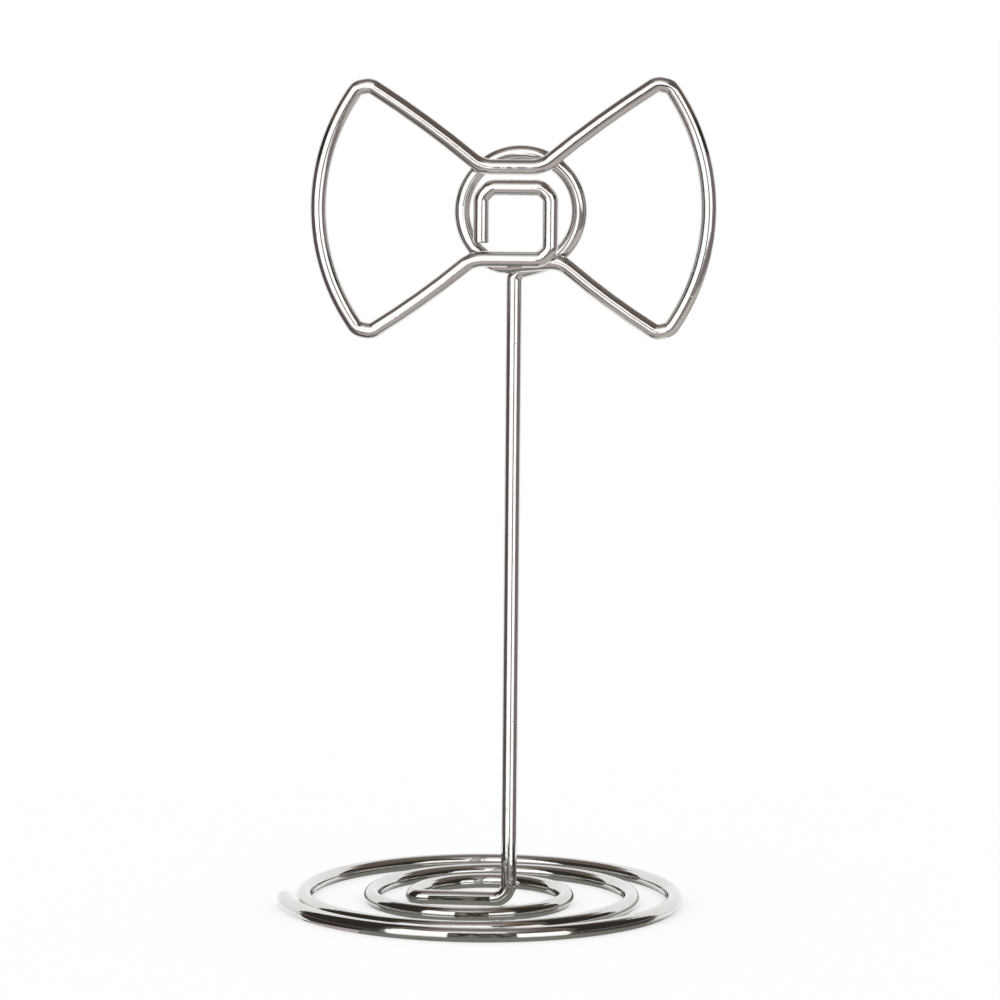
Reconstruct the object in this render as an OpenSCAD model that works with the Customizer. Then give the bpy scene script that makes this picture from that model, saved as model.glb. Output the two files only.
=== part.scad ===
// Place card holder bent from one length of round plated wire

// The wire starts at a free end and winds inwards as a flat spiral, which is the base.
// A bar leads from the spiral to the stem, and at the top of the stem the wire turns one ring.
// It then crosses in front of the stem, draws a bow with two wings and ends in an open square knot.
// A card stands in the slot between the ring and the bow.
// X points right, Y points back and Z points up, and the bow faces the front.

/* [Wire] */

// Diameter of the wire
wire_d = 1.6; // [1.2:0.1:2]
// Clear slot between one layer of the head and the next
card_slot = 0.4; // [0.3:0.05:0.8]
// Depth of the flat along the underside of the base
foot_flat = 0.16; // [0.1:0.02:0.3]

/* [Base] */

// Reach of the foot bar to the left of the stem, to the middle of the wire
bar_reach = 9.7; // [7:0.1:13]
// Reach of the innermost turn to the right of the stem, to the middle of the wire
inner_reach = 5.9; // [4.5:0.1:9]
// Clear gap on the left between the innermost turn and the middle turn
inner_gap_left = 2.7; // [1:0.1:5]
// Clear gap on the right between the innermost turn and the middle turn
inner_gap_right = 5.1; // [2:0.1:8]
// Clear gap on the left between the middle turn and the outer turn
outer_gap_left = 5.3; // [2:0.1:8]
// Clear gap on the right between the middle turn and the outer turn
outer_gap_right = 2.8; // [1:0.1:5]
// Clear gap between the free end and the turn beside it
end_gap = 0.44; // [0.42:0.02:1.5]
// Angle by which the free end stops short of a whole half turn
end_trim = 6; // [1:1:12]
// How far the foot bar comes forward on its way to the stem
bar_lead = 0.9; // [0:0.1:2]

/* [Stem] */

// Height of the middle of the bow above the table
bow_height = 71.3; // [55:0.1:90]
// Inside radius of the tight turns at the left end of the foot bar and at the top of the stem
tight_inside_r = 0.25; // [0.2:0.05:0.6]
// Inside radius of the turn from the foot bar into the stem
elbow_inside_r = 0.8; // [0.4:0.1:1.2]

/* [Ring] */

// Radius of the ring, to the middle of the wire
ring_r = 5.86; // [5:0.02:7]
// Distance of the middle of the ring to the right of the stem
ring_offset = 0.6; // [0:0.1:1]
// Distance of the middle of the ring below the middle of the bow
ring_drop = 0.4; // [0:0.05:0.8]
// Slope of the wire where it rises from the stem into the ring, in degrees
neck_slope = 15; // [5:1:25]
// Angle before its lowest point at which the ring leaves its round and turns into the crossover
ring_release = 30; // [15:1:45]

/* [Bow] */

// Width of the bow over its sides, before its upper tips are shifted
bow_w = 40.6; // [36:0.1:46]
// How far the outer sides of the wings bulge past their tips
side_bulge = 4.4; // [3:0.1:6]
// Height of the tip corners above and below the middle of the bow
tip_rise = 12.9; // [11:0.1:15]
// Shift of the upper right tip to the right
right_tip_shift = -0.25; // [-0.5:0.05:0.5]
// Lift of the upper right tip
right_tip_lift = 0.1; // [-0.5:0.05:0.5]
// Shift of the upper left tip to the right
left_tip_shift = -0.2; // [-0.5:0.05:0.5]
// Lift of the upper left tip
left_tip_lift = -0.3; // [-0.5:0.05:0.5]
// How far the arms of the wings are arched at their middle
arm_crown = 0.45; // [0.2:0.05:0.6]
// Reach of the top bar to the left of the stem, to its corner
top_bar_left = 3.4; // [2.5:0.1:4]
// Reach of the top bar to the right of the stem, to its corner
top_bar_right = 2.7; // [2.5:0.1:4]
// Clear height between the top of the knot and the top bar of the bow
top_bar_gap = 0.37; // [0.3:0.01:1]
// Reach of the corner where the crossover turns into the right wing, to the right of the stem
cross_reach = 4.6; // [4.2:0.1:6]
// Height of that corner above the lowest line of the ring
cross_rise = 0.92; // [0.6:0.02:1.2]
// Slope of the crossover, in degrees
cross_slope = 5; // [3:1:10]
// Length of the turn at the root of each arm, from its corner
root_lead = 1.15; // [0.6:0.05:1.4]

/* [Knot] */

// Reach of the corner where the left wing turns into the knot, to the left of the stem
knot_root_reach = 4.25; // [3.8:0.05:5]
// Reach of the knot to the right of the stem, to the middle of the wire
knot_right = 3.52; // [3:0.02:4.2]
// Reach of the knot tail to the left of the stem, to the middle of the wire
knot_left = 3.35; // [2.8:0.05:3.7]
// Height of the lower bar of the knot above the lowest line of the ring
knot_low_rise = 1.24; // [0.6:0.02:1.6]
// Height of the upper bar of the knot above the middle of the bow
knot_rise = 2.12; // [1.6:0.02:2.6]
// Clear height between the cut end of the tail and the lower bar of the knot
tail_gap = 0.84; // [0.5:0.02:1.5]

/* [Pinched corners] */

// Inside radius of the two turns that make up each tip and knot corner
pinch_inside_r = 0.4; // [0.2:0.05:0.6]
// Length of the flat between those two turns, in a square corner
pinch_flat = 0.35; // [0.2:0.05:0.8]

/* [Hidden] */

$fn = 128;

plating = [0.82, 0.81, 0.79];

wire_r = wire_d / 2;
layer = wire_d + card_slot;
tight_r = wire_r + tight_inside_r;
elbow_r = wire_r + elbow_inside_r;
pinch_r = wire_r + pinch_inside_r;
base_z = wire_r - foot_flat;
half_share = 0.5;

// Reaches of the turns of the base to the left and to the right of the stem, from the inside outwards
inner_left = bar_reach + wire_d + inner_gap_left;
middle_left = inner_left + wire_d + outer_gap_left;
end_left = middle_left + wire_d + end_gap;
middle_right = inner_reach + wire_d + inner_gap_right;
outer_right = middle_right + wire_d + outer_gap_right;

// Half turns of the base from the free end inwards, each from one reach to the next
turn_from = [-end_left, outer_right, -middle_left, middle_right, -inner_left, inner_reach];
turn_to = [outer_right, -middle_left, middle_right, -inner_left, inner_reach, -bar_reach];
last_turn = len(turn_from) - 1;

function turn_r(i) = abs(turn_to[i] - turn_from[i]) / 2;
function turn_mid(i) = (turn_from[i] + turn_to[i]) / 2;
function turn_way(i) = sign(turn_to[i] - turn_from[i]);
function turn_start(i) = turn_way(i) > 0 ? 180 : 0;

// Distance behind the stem of the line on which the half turns meet
bar_lean = atan(bar_lead / bar_reach);
spiral_back = bar_lead + tight_r * tan((90 - bar_lean) / 2);

// Place of the stem, with the middle of the whole outline at the origin
end_reach = (turn_r(0) + wire_r) * cos(end_trim) - turn_mid(0);
reach_left = max(end_reach, middle_left + wire_r, (bow_w - left_tip_shift) / 2);
reach_right = max(outer_right + wire_r, (bow_w + right_tip_shift) / 2);
reach_front = turn_r(0) + wire_r - spiral_back;
reach_back = turn_r(1) + wire_r + spiral_back;
stem_x = (reach_left - reach_right) / 2;
stem_y = (reach_front - reach_back) / 2;

function unit(v) = v / norm(v);
function between(a, b, share) = a + (b - a) * share;
function turn_angle(a, v, b) = acos(max(-1, min(1, unit(v - a) * unit(b - v))));

// Point of the head placed in the part, from its place seen from the front and its depth before the stem
function placed(corner, depth) = [stem_x + corner.x, stem_y - depth, bow_height + corner.y];

// Ring, made of a half that leans forward to its top and a half that leans forward to its bottom
ring_middle = [ring_offset, -ring_drop];
ring_high = ring_r - ring_drop;
ring_low = ring_r + ring_drop;
neck_angle = neck_slope - 90;
neck_point = ring_middle + ring_r * [cos(neck_angle), sin(neck_angle)];
neck_low = neck_point.y - neck_point.x * tan(neck_slope);
cross_corner = [cross_reach, cross_rise - ring_low];
cross_way = [cos(cross_slope), sin(cross_slope)];
release_point = ring_middle - ring_r * [sin(ring_release), cos(ring_release)];
release_way = [cos(ring_release), -sin(ring_release)];
release_lead = cross(cross_corner - release_point, cross_way) / sin(cross_slope + ring_release);
release_corner = release_point + release_way * release_lead;
rise_lean = asin(layer / 2 / (ring_high - neck_low));
fall_lean = asin(layer / 2 / (2 * ring_r));
ring_top = placed([ring_offset, ring_high], layer / 2);
rise_down = [0, sin(rise_lean), -cos(rise_lean)];
fall_down = [0, -sin(fall_lean), -cos(fall_lean)];

// Point of either half of the ring, or of the straight that goes on from it
function on_ring(corner, down) = ring_top + [corner.x - ring_offset, 0, 0] + down * (ring_high - corner.y);

// Corners of the bow, seen from the front and measured from the middle of the bow
pinch_lead = (pinch_flat / 2 + pinch_r * tan(90 / 4)) / cos(90 / 2) + pinch_r * tan(90 / 4);
tip_x = bow_w / 2 - wire_r - side_bulge;
top_bar_z = knot_rise + wire_d + top_bar_gap;
knot_drop = ring_low - knot_low_rise;
tail_end = wire_r + tail_gap - knot_drop;

// Corner that stands for the whole outer side of a wing, on the side of the way out
function side_middle(low, high, out) =
    let (half = norm(high - low) / 2)
    let (along = unit(high - low))
    let (lean = 2 * atan(side_bulge / (half + pinch_lead)))
    between(low, high, half_share) + out * half * tan(lean) * [along.y, -along.x];

// Corner near the middle of an arm, pushed away from the middle of the bow by the crown
function arm_middle(root, tip) =
    let (along = unit(tip - root))
    let (across = [-along.y, along.x])
    let (way = (norm(tip - root) + root_lead - pinch_lead) / 2)
    root + along * way + across * arm_crown * sign(across.y * tip.y);

// Two corners that stand for one pinched corner
function pinch(a, v, b) =
    let (cut = pinch_lead - pinch_r * tan(turn_angle(a, v, b) / 4))
    [v - unit(v - a) * cut, v + unit(b - v) * cut];

tip_lower_right = [tip_x, -tip_rise];
tip_upper_right = [tip_x + right_tip_shift, tip_rise + right_tip_lift];
tip_upper_left = [left_tip_shift - tip_x, tip_rise + left_tip_lift];
tip_lower_left = [-tip_x, -tip_rise];
side_right = side_middle(tip_lower_right, tip_upper_right, 1);
side_left = side_middle(tip_lower_left, tip_upper_left, -1);
top_right = [top_bar_right, top_bar_z];
top_left = [-top_bar_left, top_bar_z];
knot_start = [-knot_root_reach, -knot_drop];
arm_lower_right = arm_middle(cross_corner, tip_lower_right);
arm_upper_right = arm_middle(top_right, tip_upper_right);
arm_upper_left = arm_middle(top_left, tip_upper_left);
arm_lower_left = arm_middle(knot_start, tip_lower_left);

bow_run = concat(
    [cross_corner, arm_lower_right],
    pinch(arm_lower_right, tip_lower_right, side_right),
    [side_right],
    pinch(side_right, tip_upper_right, arm_upper_right),
    [arm_upper_right, top_right, top_left, arm_upper_left],
    pinch(arm_upper_left, tip_upper_left, side_left),
    [side_left],
    pinch(side_left, tip_lower_left, arm_lower_left),
    [arm_lower_left, knot_start]
);

// Corners of the knot
knot_lower_right = [knot_right, -knot_drop];
knot_upper_right = [knot_right, knot_rise];
knot_upper_left = [-knot_left, knot_rise];
knot_end = [-knot_left, tail_end];

knot_run = concat(
    pinch(knot_start, knot_lower_right, knot_upper_right),
    pinch(knot_lower_right, knot_upper_right, knot_upper_left),
    pinch(knot_upper_right, knot_upper_left, knot_end),
    [knot_end]
);

// Length of a run up to one of its corners
function run_length(run, i) = i == 0 ? 0 : run_length(run, i - 1) + norm(run[i] - run[i - 1]);

// Run that comes forward evenly along its length, from a first point to a last depth
function forward(run, first, last_depth) =
    let (whole = run_length(run, len(run) - 1))
    let (last = placed(run[len(run) - 1], last_depth))
    let (lift = first.z - placed(run[0], 0).z)
    [
        for (i = [0 : len(run) - 1])
            let (share = run_length(run, i) / whole)
            placed(run[i], 0) + [0, between(first.y, last.y, share) - stem_y, (1 - share) * lift]
    ];

ring_start = on_ring(neck_point, rise_down);
ring_end = on_ring(release_point, fall_down);
cross_bend = on_ring(release_corner, fall_down);
bow_line = forward(bow_run, on_ring(cross_corner, fall_down), 2 * layer);
knot_line = [for (corner = knot_run) placed(corner, 2 * layer)];
bow_cut = between(cross_bend, bow_line[0], half_share);
knot_cut = between(bow_line[len(bow_line) - 1], knot_line[0], half_share);

// Whole wire from the end of the spiral to the end of the tail, corner by corner
wire_line = concat(
    [
        [stem_x - bar_reach, stem_y + spiral_back, base_z],
        [stem_x - bar_reach, stem_y + bar_lead, base_z],
        [stem_x, stem_y, base_z],
        on_ring([0, neck_low], rise_down),
        ring_start,
        ring_end,
        cross_bend,
        bow_cut,
    ],
    bow_line,
    [knot_cut],
    knot_line
);

// Names of the corners in that list, where a pinched corner has two
CORNERS = [
    "spiral end", "foot turn", "elbow", "neck", "ring start", "ring end", "cross bend",
    "bow cut", "right root", "lower right arm", "lower right tip", "lower right tip end",
    "right side", "upper right tip", "upper right tip end", "upper right arm",
    "top right", "top left", "upper left arm", "upper left tip", "upper left tip end",
    "left side", "lower left tip", "lower left tip end", "lower left arm", "knot root",
    "knot cut", "lower corner", "lower corner end", "right corner", "right corner end",
    "left corner", "left corner end", "tail end",
];

function at(corner) = search([corner], CORNERS)[0];
function named(list, i) = len([for (name = list) if (name == CORNERS[i]) name]) > 0;

// Corners without a turn, and corners whose turn fills the wire up to the turn at a neighbour
plain_corners = ["spiral end", "ring start", "ring end", "bow cut", "knot cut", "tail end"];
tight_corners = ["foot turn", "neck"];
elbow_corners = ["elbow"];
fill_forward = ["right root", "lower right arm", "right side", "top left", "upper left arm", "left side"];
fill_back = ["cross bend", "upper right arm", "top right", "lower left arm", "knot root"];

function corner_turn(i) = turn_angle(wire_line[i - 1], wire_line[i], wire_line[i + 1]);
function least_r(i) =
    named(tight_corners, i) ? tight_r
    : named(elbow_corners, i) ? elbow_r
    : pinch_r;

// Length from a corner to either end of its turn
function setback(i) =
    named(plain_corners, i) ? 0
    : named(fill_forward, i) ? norm(wire_line[i + 1] - wire_line[i]) - setback(i + 1)
    : named(fill_back, i) ? norm(wire_line[i - 1] - wire_line[i]) - setback(i - 1)
    : least_r(i) * tan(corner_turn(i) / 2);

function bend_r(i) = setback(i) / tan(corner_turn(i) / 2);
function leg_way(i) = unit(wire_line[i + 1] - wire_line[i]);
function leg_start(i) = wire_line[i] + leg_way(i) * setback(i);
function leg_length(i) = norm(wire_line[i + 1] - wire_line[i]) - setback(i) - setback(i + 1);
function part_across(v, way) = unit(v - way * (v * way));

// Placing of a shape by its own X and Z directions and its origin
function placing(x, z, origin) =
    let (y = cross(z, x))
    [
        [x.x, y.x, z.x, origin.x],
        [x.y, y.y, z.y, origin.y],
        [x.z, y.z, z.z, origin.z],
        [0, 0, 0, 1],
    ];

// Turn of the wire from the origin, which starts along Z, up or down, and turns towards X
module turn_on(r, angle, up) {
    multmatrix(placing([-1, 0, 0], [0, up, 0], [r, 0, 0]))
        rotate_extrude(angle = angle)
            translate([r, 0])
                circle(d = wire_d);
}

// Turn at one corner, with no straight
module bend(i) {
    multmatrix(placing(part_across(leg_way(i), leg_way(i - 1)), leg_way(i - 1),
        wire_line[i] - leg_way(i - 1) * setback(i)))
        turn_on(bend_r(i), corner_turn(i), 1);
}

// Straight after a corner, with the turn before it, the turn after it, both or neither
module straight(i, before, after) {
    way = leg_way(i);
    start_side = before ? part_across(-leg_way(i - 1), way) : part_across([1, 1, 1], way);
    end_side = after ? part_across(leg_way(i + 1), way) : start_side;
    twist = atan2(cross(start_side, end_side) * way, start_side * end_side);
    multmatrix(placing(start_side, way, leg_start(i))) {
        cylinder(h = leg_length(i), d = wire_d);
        if (before) turn_on(bend_r(i), corner_turn(i), -1);
        if (after)
            translate([0, 0, leg_length(i)])
                rotate([0, 0, twist])
                    turn_on(bend_r(i + 1), corner_turn(i + 1), 1);
    }
}

// Half turns of the flat spiral from one of them inwards, which starts at the origin
module spiral_from(i) {
    translate([turn_way(i) * turn_r(i), 0, 0]) {
        rotate([0, 0, turn_start(i)])
            rotate_extrude(angle = 180)
                translate([turn_r(i), 0])
                    circle(d = wire_d);
        if (i < last_turn)
            translate([turn_way(i) * turn_r(i), 0, 0])
                spiral_from(i + 1);
    }
}

// Block below the table, which cuts the underside of the base flat
module below_table() {
    translate([-(reach_left + reach_right), -(reach_front + reach_back), -wire_d])
        cube([2 * (reach_left + reach_right), 2 * (reach_front + reach_back), wire_d]);
}

// Block that cuts the free end short, drawn from the middle of the first half turn
module past_end() {
    inside = wire_r + end_gap / 2;
    rotate([0, 0, turn_start(0) + end_trim])
        translate([turn_r(0) - inside, -turn_r(0) * half_share, -wire_d])
            cube([inside + wire_d, turn_r(0) * half_share, 2 * wire_d]);
}

// Free end and three flat turns
module spiral_base() {
    color(plating)
        difference() {
            translate([stem_x - end_left, stem_y + spiral_back, base_z])
                spiral_from(0);
            translate([stem_x + turn_mid(0), stem_y + spiral_back, base_z])
                past_end();
            below_table();
        }
}

// Tight turn and straight bar to the middle
module foot_bar() {
    color(plating)
        difference() {
            straight(at("foot turn"), true, false);
            below_table();
        }
}

// Tight turn from the bar into the stem
module foot_elbow() {
    color(plating)
        difference() {
            bend(at("elbow"));
            below_table();
        }
}

// Straight upright
module stem() {
    color(plating)
        straight(at("elbow"), false, false);
}

// Tight turn at the top of the stem and the rise into the ring
module stem_neck() {
    color(plating)
        straight(at("neck"), true, false);
}

// One turn behind the bow, drawn from its top both ways
module back_ring() {
    way = [-1, 0, 0];
    twist = atan2(cross(rise_down, fall_down) * way, rise_down * fall_down);
    color(plating)
        multmatrix(placing(rise_down, way, ring_top)) {
            turn_on(ring_r, 90 - neck_angle, -1);
            rotate([0, 0, twist])
                turn_on(ring_r, 180 - ring_release, 1);
        }
}

// Turn out of the ring and the straight in front of the stem, up to the place where the bow twists
module crossover() {
    color(plating)
        straight(at("cross bend"), true, false);
}

// Rest of that straight and the turn into the right wing
module right_root() {
    color(plating)
        straight(at("bow cut"), false, true);
}

// Right wing
module lower_right_arm() {
    color(plating)
        bend(at("lower right arm"));
}

module lower_right_tip() {
    color(plating)
        straight(at("lower right tip"), true, true);
}

module right_side() {
    color(plating)
        bend(at("right side"));
}

module upper_right_tip() {
    color(plating)
        straight(at("upper right tip"), true, true);
}

module upper_right_arm() {
    color(plating)
        bend(at("upper right arm"));
}

// Bar that joins the wings at the top, with its two turns
module top_bar() {
    color(plating)
        straight(at("top right"), true, true);
}

// Left wing
module upper_left_arm() {
    color(plating)
        bend(at("upper left arm"));
}

module upper_left_tip() {
    color(plating)
        straight(at("upper left tip"), true, true);
}

module left_side() {
    color(plating)
        bend(at("left side"));
}

module lower_left_tip() {
    color(plating)
        straight(at("lower left tip"), true, true);
}

module lower_left_arm() {
    color(plating)
        bend(at("lower left arm"));
}

// Turn into the knot and the first half of its lower bar
module knot_root() {
    color(plating)
        straight(at("knot root"), true, false);
}

// Rest of the lower bar
module knot_bottom() {
    color(plating)
        straight(at("knot cut"), false, false);
}

// Corners and bars of the knot up to its cut end
module knot_lower_corner() {
    color(plating)
        straight(at("lower corner"), true, true);
}

module knot_side() {
    color(plating)
        straight(at("lower corner end"), false, false);
}

module knot_right_corner() {
    color(plating)
        straight(at("right corner"), true, true);
}

module knot_top() {
    color(plating)
        straight(at("right corner end"), false, false);
}

module knot_left_corner() {
    color(plating)
        straight(at("left corner"), true, true);
}

module knot_tail() {
    color(plating)
        straight(at("left corner end"), false, false);
}

// Least gap of the spiral to itself, measured between points on the middle of the wire
gap_steps = 90;

function turn_points(i) = [
    for (k = [0 : gap_steps])
        let (trim = i == 0 ? end_trim : 0)
        let (angle = turn_start(i) + trim + (180 - trim) * k / gap_steps)
        [turn_mid(i), 0] + turn_r(i) * [cos(angle), sin(angle)]
];

spiral_gap = min([
    for (i = [0 : last_turn - 2])
        for (a = turn_points(i))
            for (b = turn_points(i + 2))
                norm(a - b)
]) - wire_d;

echo("Least gap of the spiral to itself in mm", spiral_gap);

spiral_base();
foot_bar();
foot_elbow();
stem();
stem_neck();
back_ring();
crossover();
right_root();
lower_right_arm();
lower_right_tip();
right_side();
upper_right_tip();
upper_right_arm();
top_bar();
upper_left_arm();
upper_left_tip();
left_side();
lower_left_tip();
lower_left_arm();
knot_root();
knot_bottom();
knot_lower_corner();
knot_side();
knot_right_corner();
knot_top();
knot_left_corner();
knot_tail();
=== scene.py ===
"""Place card holder bent from one length of bright plated wire, with its stage."""

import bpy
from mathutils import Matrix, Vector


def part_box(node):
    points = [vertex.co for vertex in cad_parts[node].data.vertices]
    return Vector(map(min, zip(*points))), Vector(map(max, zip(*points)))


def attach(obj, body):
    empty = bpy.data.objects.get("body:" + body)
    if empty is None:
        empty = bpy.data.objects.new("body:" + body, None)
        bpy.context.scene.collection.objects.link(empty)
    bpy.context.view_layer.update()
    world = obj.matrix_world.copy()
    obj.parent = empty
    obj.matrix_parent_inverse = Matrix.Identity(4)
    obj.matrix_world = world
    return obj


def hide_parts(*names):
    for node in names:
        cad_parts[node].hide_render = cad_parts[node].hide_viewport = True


bl_info = {
    "name": "Place card holder",
    "version": (1, 0, 0),
    "blender": (4, 5, 0),
    "location": "3D View > Sidebar > Card Holder",
    "description": "Models a place card holder bent from one plated wire, and its stage",
    "category": "Add Mesh",
}

import math

import bmesh
import bpy
from bpy.props import FloatProperty, FloatVectorProperty, IntProperty, PointerProperty
from mathutils import Matrix, Vector

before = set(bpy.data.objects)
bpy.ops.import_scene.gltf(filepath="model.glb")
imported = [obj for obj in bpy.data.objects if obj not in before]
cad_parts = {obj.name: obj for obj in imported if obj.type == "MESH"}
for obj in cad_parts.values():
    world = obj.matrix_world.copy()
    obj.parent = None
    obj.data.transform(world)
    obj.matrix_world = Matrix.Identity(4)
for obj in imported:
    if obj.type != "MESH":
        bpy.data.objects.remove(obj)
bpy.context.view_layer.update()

MM = 0.001
UP = Vector((0, 0, 1))

# How far a stretch may be from its CAD node, and the angle from which an edge is sharp
FIT = 0.06 * MM
SHARP = math.radians(30)
# Rings along the tail
TAIL_RINGS = 16
# Crests of a wave texture in each unit of its scaled length
WAVE_CRESTS = 20 / (2 * math.pi)

# Stage, in metres: floor, distance and height of the studio round the object
FLOOR_R = 6
REACH = 0.9
TOP = 0.93
BACK = 0.8
SKIRTING_TOP = 0.24
WALL_TOP = 0.42
SOFTBOX_TOP = 0.45
# Rings of the table from the middle outwards, and the thin layers in which they lie
BASE_EDGE = 0.0195
NEAR_EDGE = 0.036
SKIN = 0.05 * MM
# Brim over the sides of the table, with a paler top and painted shade on its underside
BRIM_Z = 35 * MM
BRIM_INNER = 0.012
BRIM_EDGE = 0.085
BRIM_OUTER = 0.6
# Start and extent of the dim sides and of their brims, in degrees to the right of the front
LEFT = (-118, 64)
RIGHT = (52, 66)
BRIM_LEFT = (-118, 66)
# Angles from the front between which a brim narrows, and the radius at which it ends
NARROW = {"left": (104, 118, 0.3), "right": (80, 118, 0.55)}
# Share of the floor's white that the camera sees without shade
FLOOR_GLOW = 0.6
# Camera: place, tilts and lens
CAMERA_AT = (0.501 * MM, -480.54 * MM, 96.25 * MM)
CAMERA_DOWN = math.radians(6.498)
CAMERA_ROLL = math.radians(0.524)
LENS_MM = 171.73
SENSOR_MM = 36


def linear(code):
    """Linear colour of an sRGB hex value."""
    shares = [int(code[i:i + 2], 16) / 255 for i in (1, 3, 5)]
    return [c / 12.92 if c <= 0.04045 else ((c + 0.055) / 1.055) ** 2.4 for c in shares]


def length(name, description, mm):
    """Size property given in millimetres."""
    return FloatProperty(name=name, description=description, default=mm * MM, unit="LENGTH", precision=5)


def angle(name, description, degrees):
    """Angle property given in degrees."""
    return FloatProperty(name=name, description=description, default=math.radians(degrees), unit="ROTATION")


def colour(name, description, code):
    """Colour property given as an sRGB hex value."""
    return FloatVectorProperty(
        name=name, description=description, default=linear(code), subtype="COLOR", size=3, min=0, max=1)


class CardHolderSizes(bpy.types.PropertyGroup):
    """Sizes of the bent wire."""

    wire_d: length("Wire", "Diameter of the wire", 1.6)
    card_slot: length("Card slot", "Clear slot between one layer of the head and the next", 0.4)
    foot_flat: length("Foot flat", "Depth of the flat along the underside of the base", 0.16)
    bar_reach: length("Foot bar", "Reach of the foot bar to the left of the stem", 9.7)
    inner_reach: length("Innermost turn", "Reach of the innermost turn to the right of the stem", 5.9)
    inner_gap_left: length("Inner gap left", "Clear gap between the innermost and middle turns", 2.7)
    inner_gap_right: length("Inner gap right", "Clear gap between the innermost and middle turns", 5.1)
    outer_gap_left: length("Outer gap left", "Clear gap between the middle and outer turns", 5.3)
    outer_gap_right: length("Outer gap right", "Clear gap between the middle and outer turns", 2.8)
    end_gap: length("End gap", "Clear gap between the free end and the turn beside it", 0.44)
    end_trim: angle("End trim", "Angle by which the free end stops short of a whole half turn", 6)
    bar_lead: length("Foot bar lead", "How far the foot bar comes forward on its way to the stem", 0.9)
    bow_height: length("Bow height", "Height of the middle of the bow above the table", 71.3)
    tight_inside_r: length("Tight turns", "Inside radius of the turns at the foot bar and the neck", 0.25)
    elbow_inside_r: length("Elbow", "Inside radius of the turn from the foot bar into the stem", 0.8)
    ring_r: length("Ring", "Radius of the ring to the middle of the wire", 5.86)
    ring_offset: length("Ring offset", "Distance of the ring to the right of the stem", 0.6)
    ring_drop: length("Ring drop", "Distance of the middle of the ring below the middle of the bow", 0.4)
    neck_slope: angle("Neck slope", "Slope of the wire where it rises into the ring", 15)
    ring_release: angle("Ring release", "Angle before its lowest point where the ring leaves its round", 30)
    bow_w: length("Bow width", "Width of the bow over its sides, before its upper tips are shifted", 40.6)
    side_bulge: length("Side bulge", "How far the sides of the wings bulge past their tips", 4.4)
    tip_rise: length("Tip rise", "Height of the tips above and below the middle of the bow", 12.9)
    right_tip_shift: length("Right tip shift", "Shift of the upper right tip to the right", -0.25)
    right_tip_lift: length("Right tip lift", "Lift of the upper right tip", 0.1)
    left_tip_shift: length("Left tip shift", "Shift of the upper left tip to the right", -0.2)
    left_tip_lift: length("Left tip lift", "Lift of the upper left tip", -0.3)
    arm_crown: length("Arm crown", "How far the arms of the wings are arched", 0.45)
    top_bar_left: length("Top bar left", "Reach of the top bar to the left of the stem", 3.4)
    top_bar_right: length("Top bar right", "Reach of the top bar to the right of the stem", 2.7)
    top_bar_gap: length("Top bar gap", "Clear height between the knot and the top bar", 0.37)
    cross_reach: length("Crossover", "Reach of the crossover to the right of the stem", 4.6)
    cross_rise: length("Crossover rise", "Height of its corner above the lowest line of the ring", 0.92)
    cross_slope: angle("Crossover slope", "Slope of the crossover", 5)
    root_lead: length("Root", "Length of the turn at the root of each arm", 1.15)
    knot_root_reach: length("Knot root", "Reach of the corner where the knot starts", 4.25)
    knot_right: length("Knot right", "Reach of the knot to the right of the stem", 3.52)
    knot_left: length("Knot left", "Reach of the knot tail to the left of the stem", 3.35)
    knot_low_rise: length("Knot bottom", "Height of the lower bar above the lowest line of the ring", 1.24)
    knot_rise: length("Knot top", "Height of the upper bar above the middle of the bow", 2.12)
    tail_gap: length("Tail gap", "Clear height between the cut tail and the lower bar", 0.84)
    pinch_inside_r: length("Pinched turns", "Inside radius of the two turns of a pinched corner", 0.4)
    pinch_flat: length("Pinched flat", "Length of the flat between those two turns", 0.35)
    end_round: length("Cut edge", "Rounding of the edge of the tail's cut end", 0.1)
    end_dome: length("End dome", "Rounding of the free end of the spiral", 0.35)
    wire_sides: IntProperty(name="Sides", description="Sides of the round wire", default=48, min=8)
    turn_step: angle("Turn step", "Angle between two rings of a turn of the wire", 2)


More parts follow.
